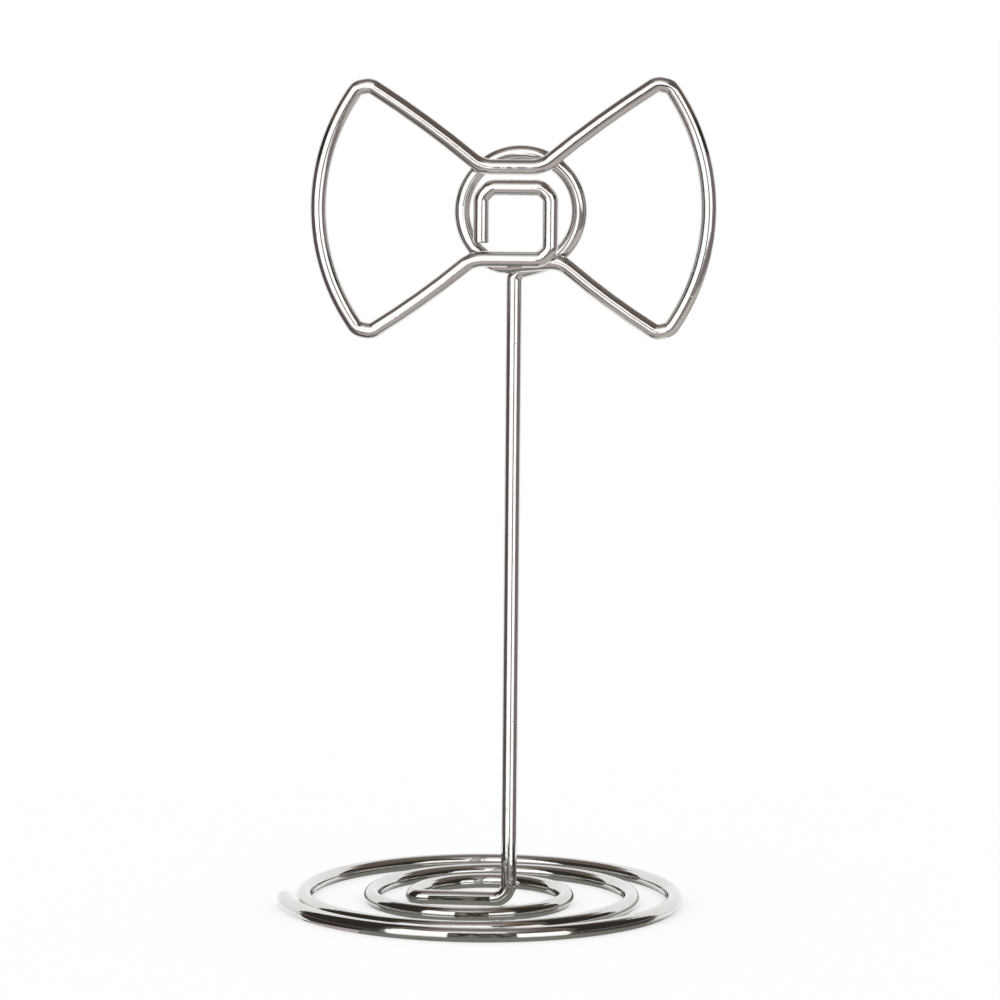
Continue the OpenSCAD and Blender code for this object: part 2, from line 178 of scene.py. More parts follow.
class CardHolderLook(bpy.types.PropertyGroup):
    """Finish of the wire and colours of the stage."""

    plating: colour("Plating", "Bright nickel and chrome plating", "#dedddb")
    plating_thin: colour("Thin plating", "Plating where it is thinner and warmer", "#d7d4d0")
    speck: colour("Specks", "Small pits and specks in the plating", "#8e877c")
    steel: colour("Sheared steel", "Bare end of the cut wire", "#a39d94")
    steel_streak: colour("Shear streaks", "Dark streaks left by the cutter", "#6d675f")
    floor: colour("Floor", "White table top", "#ffffff")
    front_light: colour("Softbox", "Cloth of the front softbox", "#ffffff")
    flag: colour("Flag", "Black flag close to the base", "#35322b")
    flag_crease: colour("Flag creases", "Creases of the flag that catch the light", "#8d8880")
    camera: colour("Camera", "Camera seen in the stem", "#2a2522")
    wall: colour("Side walls", "Dark side walls of the studio", "#35322c")
    high_wall: colour("Upper walls", "Walls above the lights", "#6a5e55")
    ceiling: colour("Ceiling", "Ceiling over the object", "#786e6c")
    ceiling_side: colour("Ceiling sides", "Ceiling at both sides", "#72665f")
    ceiling_edge: colour("Ceiling edge", "Ceiling away from the object", "#bdb7b3")
    # Painted light and shade of the white table and of the brim over it, shown only in the wire's reflections
    side_left: colour("Left side", "Dim left side of the table", "#665b5d")
    side_right: colour("Right side", "Dim right side of the table", "#82787a")
    table_near: colour("Table near the base", "Table in the shade of the base", "#86867f")
    table_left: colour("Table left", "Table left of the base", "#c2b6b7")
    table_right: colour("Table right", "Table right of the base", "#a3a29a")
    shade_left: colour("Left shade", "Dim patch at the left of the table", "#8d8780")
    shade_right: colour("Right shade", "Table in the shade of the right softbox", "#958b89")
    brim: colour("Brim", "Pale brim over the right side of the table", "#d0cbc2")
    table_front: colour("Table front", "Table in front of the base", "#c4bbba")
    front_strength: FloatProperty(
        name="Softbox strength", description="Brightness of the softbox", default=1.5)
    fill_strength: FloatProperty(name="Fill", description="Brightness of the soft light around", default=1.0)


def sizes():
    """Sizes that the scene holds."""
    return bpy.context.scene.card_holder_sizes


def look():
    """Colours and strengths that the scene holds."""
    return bpy.context.scene.card_holder_look


# Corners of the wire from the spiral to the tail, where a pinched corner has two
CORNERS = (
    "spiral end", "foot turn", "elbow", "neck", "ring start", "ring end", "cross bend",
    "bow cut", "right root", "lower right arm", "lower right tip", "lower right tip end",
    "right side", "upper right tip", "upper right tip end", "upper right arm",
    "top right", "top left", "upper left arm", "upper left tip", "upper left tip end",
    "left side", "lower left tip", "lower left tip end", "lower left arm", "knot root",
    "knot cut", "lower corner", "lower corner end", "right corner", "right corner end",
    "left corner", "left corner end", "tail end",
)
# Corners where the wire goes straight on, and those with the tightest turn
PLAIN = ("spiral end", "ring start", "ring end", "bow cut", "knot cut", "tail end")
TIGHT = ("foot turn", "neck")
# Corners whose turn takes up the whole length to the next corner, or to the one before
FILL_FORWARD = ("right root", "lower right arm", "right side", "top left", "upper left arm", "left side")
FILL_BACK = ("cross bend", "upper right arm", "top right", "lower left arm", "knot root")


class WireLine:
    """Line of the wire, worked out from the sizes."""

    def __init__(self, s):
        self.s = s
        self.wire_r = s.wire_d / 2
        self.layer = s.wire_d + s.card_slot
        self.tight_r = self.wire_r + s.tight_inside_r
        self.elbow_r = self.wire_r + s.elbow_inside_r
        self.pinch_r = self.wire_r + s.pinch_inside_r
        self.base_z = self.wire_r - s.foot_flat
        self.plan_base()
        self.plan_ring()
        self.points = dict(zip(CORNERS, self.plan_corners()))

    def plan_base(self):
        """Half turns of the spiral, and the place of the stem in the middle of the outline."""
        s = self.s
        inner_left = s.bar_reach + s.wire_d + s.inner_gap_left
        middle_left = inner_left + s.wire_d + s.outer_gap_left
        end_left = middle_left + s.wire_d + s.end_gap
        middle_right = s.inner_reach + s.wire_d + s.inner_gap_right
        outer_right = middle_right + s.wire_d + s.outer_gap_right
        reaches = (
            -end_left, outer_right, -middle_left, middle_right, -inner_left, s.inner_reach, -s.bar_reach)
        self.turn_radii = [abs(b - a) / 2 for a, b in zip(reaches, reaches[1:])]
        bar_lean = math.atan(s.bar_lead / s.bar_reach)
        self.spiral_back = s.bar_lead + self.tight_r * math.tan((math.pi / 2 - bar_lean) / 2)
        middle = (outer_right - end_left) / 2
        end = (self.turn_radii[0] + self.wire_r) * math.cos(s.end_trim) - middle
        left = max(end, middle_left + self.wire_r, (s.bow_w - s.left_tip_shift) / 2)
        right = max(outer_right + self.wire_r, (s.bow_w + s.right_tip_shift) / 2)
        front = self.turn_radii[0] + self.wire_r - self.spiral_back
        back = self.turn_radii[1] + self.wire_r + self.spiral_back
        self.stem = Vector(((left - right) / 2, (front - back) / 2, 0))
        self.first_middle = self.stem + Vector((middle, self.spiral_back, self.base_z))

    def placed(self, corner, depth):
        """Point of the head, from its place seen from the front and its depth before the stem."""
        return self.stem + Vector((corner.x, -depth, self.s.bow_height + corner.y))

    def on_ring(self, corner, down):
        """Point of either half of the ring, or of the straight that goes on from it."""
        aside = Vector((corner.x - self.s.ring_offset, 0, 0))
        return self.ring_top + aside + down * (self.ring_high - corner.y)

    def plan_ring(self):
        """Two halves of the ring, which lean so that it ends in front of its start."""
        s = self.s
        middle = Vector((s.ring_offset, -s.ring_drop))
        self.ring_high = s.ring_r - s.ring_drop
        self.ring_low = s.ring_r + s.ring_drop
        neck_angle = s.neck_slope - math.pi / 2
        self.neck_point = middle + s.ring_r * Vector((math.cos(neck_angle), math.sin(neck_angle)))
        self.neck_low = self.neck_point.y - self.neck_point.x * math.tan(s.neck_slope)
        self.cross_corner = Vector((s.cross_reach, s.cross_rise - self.ring_low))
        cross_way = Vector((math.cos(s.cross_slope), math.sin(s.cross_slope)))
        self.release_point = middle - s.ring_r * Vector((math.sin(s.ring_release), math.cos(s.ring_release)))
        release_way = Vector((math.cos(s.ring_release), -math.sin(s.ring_release)))
        reach = self.cross_corner - self.release_point
        lead = (reach.x * cross_way.y - reach.y * cross_way.x) / math.sin(s.cross_slope + s.ring_release)
        self.release_corner = self.release_point + release_way * lead
        rise_lean = math.asin(self.layer / 2 / (self.ring_high - self.neck_low))
        fall_lean = math.asin(self.layer / 2 / (2 * s.ring_r))
        self.ring_top = self.placed(Vector((s.ring_offset, self.ring_high)), self.layer / 2)
        self.rise_down = Vector((0, math.sin(rise_lean), -math.cos(rise_lean)))
        self.fall_down = Vector((0, -math.sin(fall_lean), -math.cos(fall_lean)))
        self.rise_angle = math.pi / 2 - neck_angle
        self.fall_angle = math.pi - s.ring_release

    def pinched(self, a, v, b):
        """Two corners that stand for one pinched corner."""
        way_in, way_out = (v - a).normalized(), (b - v).normalized()
        cut = self.pinch_lead - self.pinch_r * math.tan(way_in.angle(way_out) / 4)
        return [v - way_in * cut, v + way_out * cut]

    def arm_middle(self, root, tip):
        """Corner near the middle of an arm, pushed away from the middle of the bow."""
        along = (tip - root).normalized()
        across = Vector((-along.y, along.x))
        way = ((tip - root).length + self.s.root_lead - self.pinch_lead) / 2
        return root + along * way + across * math.copysign(self.s.arm_crown, across.y * tip.y)

    def side_middle(self, low, high, out):
        """Corner that stands for the whole outer side of a wing, on the side of the way out."""
        half = (high - low).length / 2
        along = (high - low).normalized()
        lean = 2 * math.atan(self.s.side_bulge / (half + self.pinch_lead))
        return (low + high) / 2 + out * half * math.tan(lean) * Vector((along.y, -along.x))

    def plan_corners(self):
        """Places of all corners, in the order of the wire."""
        s = self.s
        eighth = math.tan(math.pi / 8)
        self.pinch_lead = (
            (s.pinch_flat / 2 + self.pinch_r * eighth) / math.cos(math.pi / 4) + self.pinch_r * eighth)
        tip_x = s.bow_w / 2 - self.wire_r - s.side_bulge
        top_z = s.knot_rise + s.wire_d + s.top_bar_gap
        drop = self.ring_low - s.knot_low_rise
        low_right, low_left = Vector((tip_x, -s.tip_rise)), Vector((-tip_x, -s.tip_rise))
        up_right = Vector((tip_x + s.right_tip_shift, s.tip_rise + s.right_tip_lift))
        up_left = Vector((s.left_tip_shift - tip_x, s.tip_rise + s.left_tip_lift))
        side_right = self.side_middle(low_right, up_right, 1)
        side_left = self.side_middle(low_left, up_left, -1)
        top_right, top_left = Vector((s.top_bar_right, top_z)), Vector((-s.top_bar_left, top_z))
        knot_start = Vector((-s.knot_root_reach, -drop))
        arms = [self.arm_middle(root, tip) for root, tip in (
            (self.cross_corner, low_right), (top_right, up_right),
            (top_left, up_left), (knot_start, low_left),
        )]
        bow = [
            self.cross_corner, arms[0], *self.pinched(arms[0], low_right, side_right),
            side_right, *self.pinched(side_right, up_right, arms[1]), arms[1],
            top_right, top_left, arms[2], *self.pinched(arms[2], up_left, side_left),
            side_left, *self.pinched(side_left, low_left, arms[3]), arms[3], knot_start,
        ]
        knot_low, knot_high = Vector((s.knot_right, -drop)), Vector((s.knot_right, s.knot_rise))
        knot_turn = Vector((-s.knot_left, s.knot_rise))
        knot_end = Vector((-s.knot_left, self.wire_r + s.tail_gap - drop))
        knot = [
            *self.pinched(knot_start, knot_low, knot_high), *self.pinched(knot_low, knot_high, knot_turn),
            *self.pinched(knot_high, knot_turn, knot_end), knot_end,
        ]
        bow = self.forward(bow, self.on_ring(self.cross_corner, self.fall_down))
        knot = [self.placed(corner, 2 * self.layer) for corner in knot]
        cross_bend = self.on_ring(self.release_corner, self.fall_down)
        foot = self.stem + UP * self.base_z
        return [
            foot + Vector((-s.bar_reach, self.spiral_back, 0)),
            foot + Vector((-s.bar_reach, s.bar_lead, 0)), foot,
            self.on_ring(Vector((0, self.neck_low)), self.rise_down),
            self.on_ring(self.neck_point, self.rise_down), self.on_ring(self.release_point, self.fall_down),
            cross_bend, (cross_bend + bow[0]) / 2, *bow, (bow[-1] + knot[0]) / 2, *knot,
        ]

    def forward(self, run, first):
        """Bow that comes forward evenly along its length, up to the front layer."""
        walked = [0.0]
        for a, b in zip(run, run[1:]):
            walked.append(walked[-1] + (b - a).length)
        lift = first.z - self.placed(run[0], 0).z
        last_y = self.placed(run[-1], 2 * self.layer).y
        out = []
        for corner, way in zip(run, walked):
            share = way / walked[-1]
            point = self.placed(corner, 0)
            point.y = first.y + (last_y - first.y) * share
            point.z += (1 - share) * lift
            out.append(point)
        return out

    def beside(self, corner, step):
        """Corner that lies some steps along the wire."""
        return CORNERS[CORNERS.index(corner) + step]

    def way(self, corner):
        """Direction of the wire after a corner."""
        return (self.points[self.beside(corner, 1)] - self.points[corner]).normalized()

    def turn_angle(self, corner):
        """Angle through which the wire turns at a corner."""
        return self.way(self.beside(corner, -1)).angle(self.way(corner))

    def setback(self, corner):
        """Length from a corner to either end of its turn."""
        if corner in PLAIN:
            return 0.0
        for fills, step in ((FILL_FORWARD, 1), (FILL_BACK, -1)):
            if corner in fills:
                other = self.beside(corner, step)
                return (self.points[other] - self.points[corner]).length - self.setback(other)
        if corner in TIGHT:
            radius = self.tight_r
        elif corner == "elbow":
            radius = self.elbow_r
        else:
            radius = self.pinch_r
        return radius * math.tan(self.turn_angle(corner) / 2)

    def leg_start(self, corner):
        """Point where the straight after a corner starts."""
        return self.points[corner] + self.way(corner) * self.setback(corner)

    def leg_length(self, corner):
        """Length of the straight after a corner."""
        after = self.beside(corner, 1)
        return (self.points[after] - self.points[corner]).length - self.setback(corner) - self.setback(after)


class Bender:
    """Round wire that is drawn along straights and turns from a first disc."""

    def __init__(self, start, way, s):
        self.at, self.way, self.s = start.copy(), way.copy(), s
        self.bm = bmesh.new()
        place = Matrix.Translation(start) @ way.to_track_quat("Z", "Y").to_matrix().to_4x4()
        bmesh.ops.create_circle(
            self.bm, cap_ends=True, radius=s.wire_d / 2, segments=s.wire_sides, matrix=place)
        self.first = self.bm.faces[:]
        self.end = self.bm.faces[:] + self.bm.edges[:] + self.bm.verts[:]

    def straight(self, run, steps):
        """Draws the wire straight on."""
        for _ in range(steps):
            self.end = bmesh.ops.extrude_face_region(self.bm, geom=self.end)["geom"]
            moved = [v for v in self.end if isinstance(v, bmesh.types.BMVert)]
            bmesh.ops.translate(self.bm, verts=moved, vec=self.way * (run / steps))
        self.at += self.way * run

    def turn(self, towards, radius, through):
        """Turns the wire about a middle that lies across its way."""
        centre = self.at + towards * radius
        axis = self.way.cross(towards).normalized()
        steps = max(4, math.ceil(through / self.s.turn_step))
        self.end = bmesh.ops.spin(
            self.bm, geom=self.end, cent=centre, axis=axis, angle=through, steps=steps)["geom_last"]
        spun = Matrix.Rotation(through, 3, axis)
        self.at = centre + spun @ (self.at - centre)
        self.way = spun @ self.way

    def last(self):
        """Face at the end of the wire."""
        return [f for f in self.end if isinstance(f, bmesh.types.BMFace)]

    def cut_end(self, faces, rounding):
        """Rounds the edge of a cut end and marks its bare face."""
        for face in faces:
            face.material_index = 1
        edges = [e for face in faces for e in face.edges]
        bmesh.ops.bevel(
            self.bm, geom=edges, offset=rounding, segments=4, affect="EDGES", profile=0.5, material=-1)

    def table_flat(self):
        """Presses the underside of the base flat on the table."""
        for v in self.bm.verts:
            v.co.z = max(v.co.z, 0)


def finish_piece(name, body, bender, *finishes):
    """Closes a stretch of the wire, checks it against its CAD node and joins it to its body."""
    bm = bender.bm
    bmesh.ops.recalc_face_normals(bm, faces=bm.faces[:])
    for face in bm.faces:
        face.smooth = True
    for edge in bm.edges:
        if not edge.is_manifold:
            raise RuntimeError(f"{name} isn't closed")
        edge.smooth = edge.calc_face_angle() < SHARP
    low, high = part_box(name)
    for i in range(3):
        spread = [v.co[i] for v in bm.verts]
        if abs(min(spread) - low[i]) > FIT or abs(max(spread) - high[i]) > FIT:
            raise RuntimeError(f"{name} isn't where its CAD node is")
    mesh = bpy.data.meshes.new(f"{name}_wire")
    bm.to_mesh(mesh)
    bm.free()
    for finish in finishes:
        mesh.materials.append(finish)
    piece = bpy.data.objects.new(f"{name}_wire", mesh)
    bpy.context.scene.collection.objects.link(piece)
    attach(piece, body)
    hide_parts(name)


def bend_stretch(line, moves, steps=1):
    """Wire along some turns and straights that follow each other, each given by its corner.

    A straight that ends in a cut gets more steps, so that the rounding shades only its last one.
    """
    kind, corner = moves[0]
    if kind == "turn":
        way = line.way(line.beside(corner, -1))
        start = line.points[corner] - way * line.setback(corner)
    else:
        way, start = line.way(corner), line.leg_start(corner)
    bender = Bender(start, way, line.s)
    for kind, corner in moves:
        if kind == "turn":
            through = line.turn_angle(corner)
            onward = line.way(corner)
            towards = (onward - bender.way * onward.dot(bender.way)).normalized()
            bender.turn(towards, line.setback(corner) / math.tan(through / 2), through)
        else:
            bender.straight(line.leg_length(corner), steps)
    return bender


def add(tree, kind, inputs=(), stops=(), **settings):
    """Adds a node with its settings, and links or sets its inputs.

    The stops of a colour ramp are places with linear colours.
    """
    node = tree.nodes.new(kind)
    for key, value in settings.items():
        setattr(node, key, value)
    for key, value in dict(inputs).items():
        if isinstance(value, bpy.types.NodeSocket):
            tree.links.new(value, node.inputs[key])
        else:
            node.inputs[key].default_value = value
    while stops and len(node.color_ramp.elements) < len(stops):
        node.color_ramp.elements.new(0.5)
    for i, (place, tint) in enumerate(stops):
        node.color_ramp.elements[i].position = place
        node.color_ramp.elements[i].color = (*tint, 1)
    return node


def new_material(name):
    """Empty node material and its tree."""
    material = bpy.data.materials.new(name)
    material.use_nodes = True
    material.node_tree.nodes.clear()
    return material, material.node_tree


def plated_wire(name="Nickel-chrome plated wire", press=0.0):
    """Drawn steel wire, bright nickel and chrome plated.

    A mirror with a pale tone, a little warmer where the plating is thin. The drawn wire under it is
    a little uneven, so edges of reflections wander, and fine pits and specks break them up.
    """
    if name in bpy.data.materials:
        return bpy.data.materials[name]
    k = look()
    material, tree = new_material(name)
    where = add(tree, "ShaderNodeTexCoord").outputs["Object"]
    # Tone of the plating drifts over about 3 mm
    drift = add(tree, "ShaderNodeTexNoise", {"Vector": where, "Scale": 1 / (3 * MM), "Detail": 2.0})
    # Pits are about 0.1 mm wide and 0.5 mm apart, and only some of the cells have one
    pits = add(tree, "ShaderNodeTexVoronoi", {"Vector": where, "Scale": 1 / (0.5 * MM)}, feature="F1")
    pit = add(tree, "ShaderNodeMapRange", {
        "Value": pits.outputs["Distance"], "From Min": 0.06, "From Max": 0.2, "To Min": 1.0, "To Max": 0.0})
    chosen = add(tree, "ShaderNodeSeparateColor", {"Color": pits.outputs["Color"]})
    rare = add(tree, "ShaderNodeMath", {0: chosen.outputs["Red"], 1: 0.82}, operation="GREATER_THAN")
    speck = add(tree, "ShaderNodeMath", {0: pit.outputs["Result"], 1: rare.outputs[0]}, operation="MULTIPLY")
    tone = add(
        tree, "ShaderNodeValToRGB", {"Fac": drift.outputs["Fac"]},
        stops=[(0.35, k.plating), (0.75, k.plating_thin)])
    faint = add(tree, "ShaderNodeMath", {0: speck.outputs[0], 1: 0.55}, operation="MULTIPLY")
    base = add(tree, "ShaderNodeMix", {
        "Factor": faint.outputs[0], 6: tone.outputs["Color"], 7: (*k.speck, 1)}, data_type="RGBA")
    # Roughness rises in small dull patches about 0.8 mm across
    dull = add(tree, "ShaderNodeTexNoise", {"Vector": where, "Scale": 1 / (0.8 * MM), "Detail": 4.0})
    rough = add(tree, "ShaderNodeMapRange", {
        "Value": dull.outputs["Fac"], "From Min": 0.3, "From Max": 0.75, "To Min": 0.05, "To Max": 0.13})
    # Wire left by the die is uneven by a few thousandths of a millimetre over about 1.2 mm
    wave = add(tree, "ShaderNodeTexNoise", {"Vector": where, "Scale": 1 / (1.2 * MM), "Detail": 2.0})
    uneven = add(tree, "ShaderNodeBump", {
        "Strength": 1.0, "Distance": (0.012 + press) * MM, "Height": wave.outputs["Fac"]})
    dent = add(tree, "ShaderNodeBump", {
        "Strength": 1.0, "Distance": 0.008 * MM, "Height": speck.outputs[0],
        "Normal": uneven.outputs["Normal"]}, invert=True)
    shader = add(tree, "ShaderNodeBsdfPrincipled", {
        "Base Color": base.outputs[2], "Metallic": 1.0, "Roughness": rough.outputs["Result"],
        "Normal": dent.outputs["Normal"]})
    add(tree, "ShaderNodeOutputMaterial", {"Surface": shader.outputs["BSDF"]})
    return material


def pressed_wire():
    """The same plating where the corners were pinched: the jaws leave it flatter and more uneven."""
    return plated_wire("Nickel-chrome plated wire, pinched by the jaws", press=0.012)


def sheared_steel():
    """Bare low-carbon steel at a cut end: grey, half dull, with streaks from the cutter's blade."""
    name = "Sheared low-carbon steel"
    if name in bpy.data.materials:
        return bpy.data.materials[name]
    k = look()
    material, tree = new_material(name)
    where = add(tree, "ShaderNodeTexCoord").outputs["Object"]
    # Streaks are about 0.75 mm apart across the cut, coarser than real ones so that they show
    streak = add(tree, "ShaderNodeTexWave", {
        "Vector": where, "Scale": 1 / (0.754 * MM * WAVE_CRESTS), "Distortion": 3.0, "Detail": 3.0},
        bands_direction="X")
    tone = add(
        tree, "ShaderNodeValToRGB", {"Fac": streak.outputs["Fac"]},
        stops=[(0.2, k.steel_streak), (0.7, k.steel)])
    rough = add(tree, "ShaderNodeMapRange", {"Value": streak.outputs["Fac"], "To Min": 0.5, "To Max": 0.3})
    relief = add(tree, "ShaderNodeBump", {
        "Strength": 1.0, "Distance": 0.01 * MM, "Height": streak.outputs["Fac"]})
    shader = add(tree, "ShaderNodeBsdfPrincipled", {
        "Base Color": tone.outputs["Color"], "Metallic": 1.0, "Roughness": rough.outputs["Result"],
        "Normal": relief.outputs["Normal"]})
    add(tree, "ShaderNodeOutputMaterial", {"Surface": shader.outputs["BSDF"]})
    return material


def make_stretches(body, stretches):
    """Bends some stretches of the wire, of which tips and corners are pinched."""
    line = WireLine(sizes())
    for name, moves in stretches:
        pinched = name.endswith(("_tip", "_corner"))
        finish_piece(name, body, bend_stretch(line, moves), pressed_wire() if pinched else plated_wire())


class CARDHOLDER_OT_base(bpy.types.Operator):
    """Winds the flat spiral of the base from its free end inwards"""

    bl_idname = "card_holder.base"
    bl_label = "Spiral Base"

    def execute(self, context):
        line = WireLine(sizes())
        trimmed = Matrix.Rotation(line.s.end_trim, 3, UP)
        start = line.first_middle + trimmed @ Vector((-line.turn_radii[0], 0, 0))
        bender = Bender(start, trimmed @ Vector((0, -1, 0)), line.s)
        bender.turn(UP.cross(bender.way), line.turn_radii[0], math.pi - line.s.end_trim)
        for radius in line.turn_radii[1:]:
            bender.turn(UP.cross(bender.way), radius, math.pi)
        bender.cut_end(bender.first, line.s.end_dome)
        bender.table_flat()
        finish_piece("spiral_base", "stand", bender, plated_wire(), sheared_steel())
        return {"FINISHED"}


class CARDHOLDER_OT_foot(bpy.types.Operator):
    """Bends the foot bar and its elbow into the stem"""

    bl_idname = "card_holder.foot"
    bl_label = "Foot"

    def execute(self, context):
        line = WireLine(sizes())
        for name, moves in (
            ("foot_bar", (("turn", "foot turn"), ("straight", "foot turn"))),
            ("foot_elbow", (("turn", "elbow"),)),
        ):
            bender = bend_stretch(line, moves)
            bender.table_flat()
            finish_piece(name, "stand", bender, plated_wire())
        return {"FINISHED"}


class CARDHOLDER_OT_stem(bpy.types.Operator):
    """Raises the stem and its neck"""

    bl_idname = "card_holder.stem"
    bl_label = "Stem"

    def execute(self, context):
        make_stretches("stand", (
            ("stem", (("straight", "elbow"),)),
            ("stem_neck", (("turn", "neck"), ("straight", "neck"))),
        ))
        return {"FINISHED"}


class CARDHOLDER_OT_ring(bpy.types.Operator):
    """Turns the ring behind the bow and leads the wire across the stem"""

    bl_idname = "card_holder.ring"
    bl_label = "Ring"

    def execute(self, context):
        line = WireLine(sizes())
        top_way = Vector((-1, 0, 0))
        axis = top_way.cross(line.rise_down)
        centre = line.ring_top + line.rise_down * line.s.ring_r
        back = Matrix.Rotation(-line.rise_angle, 3, axis)
        start = centre + back @ (line.ring_top - centre)
        bender = Bender(start, back @ top_way, line.s)
        bender.turn((centre - start).normalized(), line.s.ring_r, line.rise_angle)
        bender.turn(line.fall_down, line.s.ring_r, line.fall_angle)
        finish_piece("back_ring", "stand", bender, plated_wire())
        make_stretches("stand", (("crossover", (("turn", "cross bend"), ("straight", "cross bend"))),))
        return {"FINISHED"}


def tip_moves(corner):
    """Two turns of a pinched corner and the flat between them."""
    return (("turn", corner), ("straight", corner), ("turn", f"{corner} end"))


class CARDHOLDER_OT_right_wing(bpy.types.Operator):
    """Bends the right wing of the bow"""

    bl_idname = "card_holder.right_wing"
    bl_label = "Right Wing"

    def execute(self, context):
        make_stretches("bow", (
            ("right_root", (("straight", "bow cut"), ("turn", "right root"))),
            ("lower_right_arm", (("turn", "lower right arm"),)),
            ("lower_right_tip", tip_moves("lower right tip")),
            ("right_side", (("turn", "right side"),)),
            ("upper_right_tip", tip_moves("upper right tip")),
            ("upper_right_arm", (("turn", "upper right arm"),)),
        ))
        return {"FINISHED"}


class CARDHOLDER_OT_left_wing(bpy.types.Operator):
    """Bends the top bar and the left wing of the bow, up to the knot"""

    bl_idname = "card_holder.left_wing"
    bl_label = "Top Bar and Left Wing"

    def execute(self, context):
        make_stretches("bow", (
            ("top_bar", (("turn", "top right"), ("straight", "top right"), ("turn", "top left"))),
            ("upper_left_arm", (("turn", "upper left arm"),)),
            ("upper_left_tip", tip_moves("upper left tip")),
            ("left_side", (("turn", "left side"),)),
            ("lower_left_tip", tip_moves("lower left tip")),
            ("lower_left_arm", (("turn", "lower left arm"),)),
            ("knot_root", (("turn", "knot root"), ("straight", "knot root"))),
        ))
        return {"FINISHED"}


class CARDHOLDER_OT_knot(bpy.types.Operator):
    """Bends the open square knot and cuts its tail"""

    bl_idname = "card_holder.knot"
    bl_label = "Knot"

    def execute(self, context):
        make_stretches("knot", (
            ("knot_bottom", (("straight", "knot cut"),)),
            ("knot_lower_corner", tip_moves("lower corner")),
            ("knot_side", (("straight", "lower corner end"),)),
            ("knot_right_corner", tip_moves("right corner")),
            ("knot_top", (("straight", "right corner end"),)),
            ("knot_left_corner", tip_moves("left corner")),
        ))
        line = WireLine(sizes())
        tail = bend_stretch(line, (("straight", "left corner end"),), TAIL_RINGS)
        tail.cut_end(tail.last(), line.s.end_round)
        finish_piece("knot_tail", "knot", tail, plated_wire(), sheared_steel())
        return {"FINISHED"}


def glow(name, tint, strength=1.0, polish=None):
    """Studio surface that glows evenly in its tint; on all but the softbox that glow is painted light and
    shade. A polished one turns to a mirror at grazing angles.

    The polish gives the facing values between which the mirror comes in.
    """
    material, tree = new_material(name)
    shader = add(tree, "ShaderNodeEmission", {"Color": (*tint, 1), "Strength": strength})
    if polish is not None:
        facing = add(tree, "ShaderNodeLayerWeight", {"Blend": 0.5}).outputs["Facing"]
        share = add(tree, "ShaderNodeMapRange", {
            "Value": facing, "From Min": polish[0], "From Max": polish[1]})
        mirror = add(tree, "ShaderNodeBsdfGlossy", {"Color": (1, 1, 1, 1), "Roughness": 0.0})
        shader = add(tree, "ShaderNodeMixShader", {
            0: share.outputs["Result"], 1: shader.outputs[0], 2: mirror.outputs[0]})
    add(tree, "ShaderNodeOutputMaterial", {"Surface": shader.outputs[0]})
    return material


def ceiling_painted_light(k):
    """Ceiling with painted light and shade: bright over the softbox, dimmer over the object and dark at both
    sides.
    """
    material, tree = new_material("Studio ceiling")
    where = add(tree, "ShaderNodeTexCoord").outputs["Object"]
    axes = add(tree, "ShaderNodeSeparateXYZ", {"Vector": where}).outputs
    place = add(tree, "ShaderNodeMapRange", {"Value": axes["Y"], "From Min": -REACH, "From Max": BACK})
    # Painted light: the softbox's white near the front, fading to the ceiling's grey over the object and pale
    # again at the back
    tone = add(tree, "ShaderNodeValToRGB", {"Fac": place.outputs["Result"]}, stops=[
        (0.0, k.front_light), (0.08, k.front_light), (0.3, k.ceiling_edge), (0.47, k.ceiling),
        (0.6, k.ceiling), (1.0, k.ceiling_edge)])
    # Painted shade towards both sides
    aside = add(tree, "ShaderNodeMath", {0: axes["X"]}, operation="ABSOLUTE")
    dark = add(tree, "ShaderNodeMapRange", {"Value": aside.outputs[0], "From Min": 0.15, "From Max": 0.45})
    paint = add(tree, "ShaderNodeMix", {
        "Factor": dark.outputs["Result"], 6: tone.outputs["Color"], 7: (*k.ceiling_side, 1)},
        data_type="RGBA")
    shader = add(tree, "ShaderNodeEmission", {"Color": paint.outputs[2]})
    add(tree, "ShaderNodeOutputMaterial", {"Surface": shader.outputs[0]})
    return material


def creased_flag(k):
    """Black cloth whose creases catch a little light, about 1 mm apart."""
    material, tree = new_material("Creased black flag")
    where = add(tree, "ShaderNodeTexCoord").outputs["Object"]
    crease = add(tree, "ShaderNodeTexNoise", {"Vector": where, "Scale": 1 / (1.1 * MM), "Detail": 3.0})
    tone = add(
        tree, "ShaderNodeValToRGB", {"Fac": crease.outputs["Fac"]},
        stops=[(0.42, k.flag), (0.72, k.flag_crease)])
    shader = add(tree, "ShaderNodeEmission", {"Color": tone.outputs["Color"]})
    add(tree, "ShaderNodeOutputMaterial", {"Surface": shader.outputs[0]})
    return material


def studio_card(name, material, profile, start, through, narrow=None):
    """Surface of the studio round the object, which only reflections show.

    The profile is spun about the middle, from a start angle measured to the right of the front. A card
    that narrows runs out to one radius between two angles from the front.
    """
    bm = bmesh.new()
    points = [bm.verts.new((0, -r, z)) for r, z in profile]
    for a, b in zip(points, points[1:]):
        bm.edges.new((a, b))
    bmesh.ops.rotate(bm, verts=points, cent=(0, 0, 0), matrix=Matrix.Rotation(math.radians(start), 3, "Z"))
    bmesh.ops.spin(
        bm, geom=bm.verts[:] + bm.edges[:], cent=(0, 0, 0), axis=UP, angle=math.radians(through),
        steps=math.ceil(through / 3), use_merge=through == 360)
    bmesh.ops.remove_doubles(bm, verts=bm.verts[:], dist=SKIN / 10)
    bmesh.ops.recalc_face_normals(bm, faces=bm.faces[:])
    if narrow is not None:
        first, last, end_radius = narrow
        for v in bm.verts:
            aside = math.degrees(abs(math.atan2(v.co.x, -v.co.y)))
            share = min(max((aside - first) / (last - first), 0), 1)
            v.co.xy *= (end_radius / v.co.xy.length) ** share
    stage_object(name, bm, material, hidden=True)


